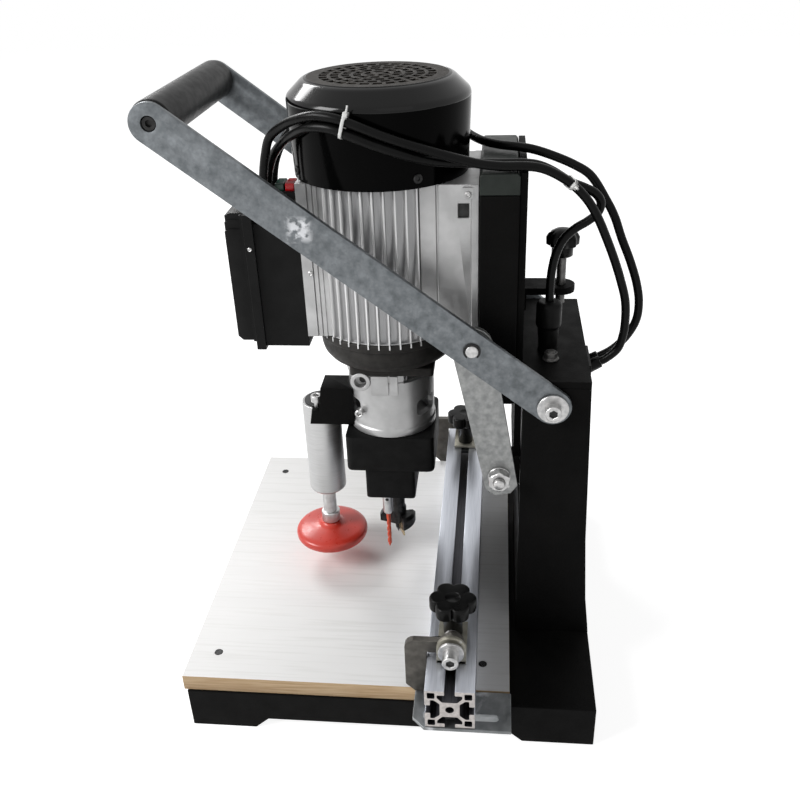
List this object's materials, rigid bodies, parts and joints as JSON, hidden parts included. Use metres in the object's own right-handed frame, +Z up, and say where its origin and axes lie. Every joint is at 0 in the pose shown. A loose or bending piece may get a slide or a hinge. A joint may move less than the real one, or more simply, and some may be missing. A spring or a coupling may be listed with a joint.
{
  "type": "hinge boring machine",
  "caption": "Bench machine that bores hinge cups: lever-fed motor head on a sheet-steel column over a laminated table with a T-slot fence, flip stops and a hold-down.",
  "frame": {"origin": "on the surface that the machine stands on, under the middle of its box without the cables", "axes": "+Z up, +X to the machine's right, +Y from the operator towards the column"},
  "size_m": [0.434, 0.3871, 0.524],
  "materials": {
    "black_paint": "fine matte texture",
    "grey_paint": "satin",
    "laminate": "white woodgrain laminate on a light board",
    "bright_steel": "turned",
    "zinc_steel": "galvanised, mottled",
    "tool_steel": "dark ground steel",
    "cast_alloy": "sand cast",
    "extruded_alloy": "drawn and brushed",
    "dark_casting": "rough dark coating",
    "gloss_black": "high gloss",
    "black_plastic": "moulded, satin",
    "green_plastic": "moulded",
    "red_plastic": "moulded",
    "orange_rubber": "satin polyurethane",
    "cable_sheath": "satin"
  },
  "bodies": {
    "root": {"base_frame": "black_paint", "table_board": "laminate", "column_shell": "black_paint", "column_lid": "black_paint", "guide_shaft_right": "bright_steel", "guide_shaft_left": "bright_steel", "return_spring_right": "bright_steel", "return_spring_left": "bright_steel", "lever_pivot_bolt_right": "bright_steel", "lever_pivot_bolt_left": "bright_steel", "fence_bracket_right": "zinc_steel", "fence_bracket_left": "zinc_steel", "cable_boot": "black_plastic", "cable_entry": "black_plastic"},
    "head": {"bearing_block": "cast_alloy", "slide_plate": "black_paint", "carriage_box": "black_paint", "carriage_cap": "grey_paint", "motor_foot": "cast_alloy", "motor_body": "cast_alloy", "motor_end_bell": "dark_casting", "fan_cover": "gloss_black", "junction_box": "black_plastic", "junction_lid": "black_plastic", "switch_block": "black_plastic", "bearing_housing": "cast_alloy", "gear_head": "dark_casting", "press_bracket": "black_paint", "press_cylinder": "extruded_alloy", "depth_stop_ear": "black_paint", "link_stud_right": "bright_steel", "link_stud_left": "bright_steel", "motor_cable_near": "cable_sheath", "motor_cable_far": "cable_sheath", "switch_cable": "cable_sheath"},
    "green_key": {"green_button": "green_plastic"},
    "red_key": {"red_button": "red_plastic"},
    "press_foot": {"press_stem": "bright_steel", "press_pad": "orange_rubber"},
    "depth_stop": {"depth_stop_rod": "zinc_steel", "depth_stop_knob": "black_plastic"},
    "right_link": {"link_plate_right": "zinc_steel"},
    "left_link": {"link_plate_left": "zinc_steel"},
    "lever": {"lever_arm_right": "zinc_steel", "lever_arm_left": "zinc_steel", "handle_grip": "black_plastic", "handle_rod": "bright_steel"},
    "spindle": {"motor_rotor": "bright_steel", "cooling_fan": "black_plastic", "cup_spindle": "bright_steel", "cup_bit": "tool_steel"},
    "right_drill": {"side_spindle_right": "tool_steel"},
    "left_drill": {"side_spindle_left": "tool_steel"},
    "fence": {"fence_profile": "extruded_alloy"},
    "right_stop": {"stop_carrier_right": "zinc_steel"},
    "left_stop": {"stop_carrier_left": "zinc_steel"},
    "right_flap": {"stop_flap_right": "zinc_steel"},
    "left_flap": {"stop_flap_left": "zinc_steel"},
    "right_knob": {"star_knob_right": "black_plastic"},
    "left_knob": {"star_knob_left": "black_plastic"}
  },
  "joints": [
    {"name": "head_feed", "type": "slide", "parent": "root", "child": "head", "axis": [0, 0, -1], "range_m": [0, 0.0247], "stiffness_N_per_m": 4000, "springref_m": -0.065, "deforming": ["return_spring_right", "return_spring_left", "motor_cable_near", "motor_cable_far", "switch_cable"]},
    {"name": "lever_swing", "type": "hinge", "parent": "root", "child": "lever", "pos_m": [0, 0.1347, 0.2825], "axis": [1, 0, 0], "range_deg": [0, 22.5]},
    {"name": "right_link_swing", "type": "hinge", "parent": "head", "child": "right_link", "pos_m": [0.0805, 0.0935, 0.212], "axis": [1, 0, 0], "range_deg": [0, 6.9]},
    {"name": "left_link_swing", "type": "hinge", "parent": "head", "child": "left_link", "pos_m": [-0.0805, 0.0935, 0.212], "axis": [1, 0, 0], "range_deg": [0, 6.9]},
    {"name": "spindle_spin", "type": "hinge", "parent": "head", "child": "spindle", "pos_m": [0, -0.0045, 0.2], "axis": [0, 0, 1], "continuous": true},
    {"name": "right_drill_spin", "type": "hinge", "parent": "head", "child": "right_drill", "pos_m": [0.024, -0.0105, 0.2], "axis": [0, 0, 1], "continuous": true},
    {"name": "left_drill_spin", "type": "hinge", "parent": "head", "child": "left_drill", "pos_m": [-0.024, -0.0105, 0.2], "axis": [0, 0, 1], "continuous": true},
    {"name": "press_lift", "type": "slide", "parent": "head", "child": "press_foot", "axis": [0, 0, 1], "range_m": [0, 0.022], "stiffness_N_per_m": 600, "springref_m": -0.02},
    {"name": "depth_stop_set", "type": "slide", "parent": "head", "child": "depth_stop", "axis": [0, 0, 1], "range_m": [-0.02, 0.008]},
    {"name": "green_press", "type": "slide", "parent": "head", "child": "green_key", "axis": [0, 0, -1], "range_m": [0, 0.003], "stiffness_N_per_m": 300, "springref_m": -0.003},
    {"name": "red_press", "type": "slide", "parent": "head", "child": "red_key", "axis": [0, 0, -1], "range_m": [0, 0.003], "stiffness_N_per_m": 300, "springref_m": -0.003},
    {"name": "fence_slide", "type": "slide", "parent": "root", "child": "fence", "axis": [0, 1, 0], "range_m": [-0.019, 0.03]},
    {"name": "right_stop_slide", "type": "slide", "parent": "fence", "child": "right_stop", "axis": [1, 0, 0], "range_m": [-0.08, 0.025]},
    {"name": "left_stop_slide", "type": "slide", "parent": "fence", "child": "left_stop", "axis": [-1, 0, 0], "range_m": [-0.08, 0.025]},
    {"name": "right_flap_flip", "type": "hinge", "parent": "right_stop", "child": "right_flap", "pos_m": [0.177, 0.057, 0.1128], "axis": [1, 0, 0], "range_deg": [-95, 0]},
    {"name": "left_flap_flip", "type": "hinge", "parent": "left_stop", "child": "left_flap", "pos_m": [-0.177, 0.057, 0.1128], "axis": [1, 0, 0], "range_deg": [-95, 0]},
    {"name": "right_knob_turn", "type": "hinge", "parent": "right_stop", "child": "right_knob", "pos_m": [0.1515, 0.057, 0.12], "axis": [0, 0, 1], "continuous": true},
    {"name": "left_knob_turn", "type": "hinge", "parent": "left_stop", "child": "left_knob", "pos_m": [-0.1515, 0.057, 0.12], "axis": [0, 0, 1], "continuous": true}
  ],
  "couplings": [
    {"joint": "lever_swing", "follows": "head_feed", "rad_per_m": 15.852},
    {"joint": "right_link_swing", "follows": "head_feed", "rad_per_m": 4.797},
    {"joint": "left_link_swing", "follows": "head_feed", "rad_per_m": 4.797},
    {"joint": "right_drill_spin", "follows": "spindle_spin", "ratio": -1},
    {"joint": "left_drill_spin", "follows": "spindle_spin", "ratio": -1}
  ]
}
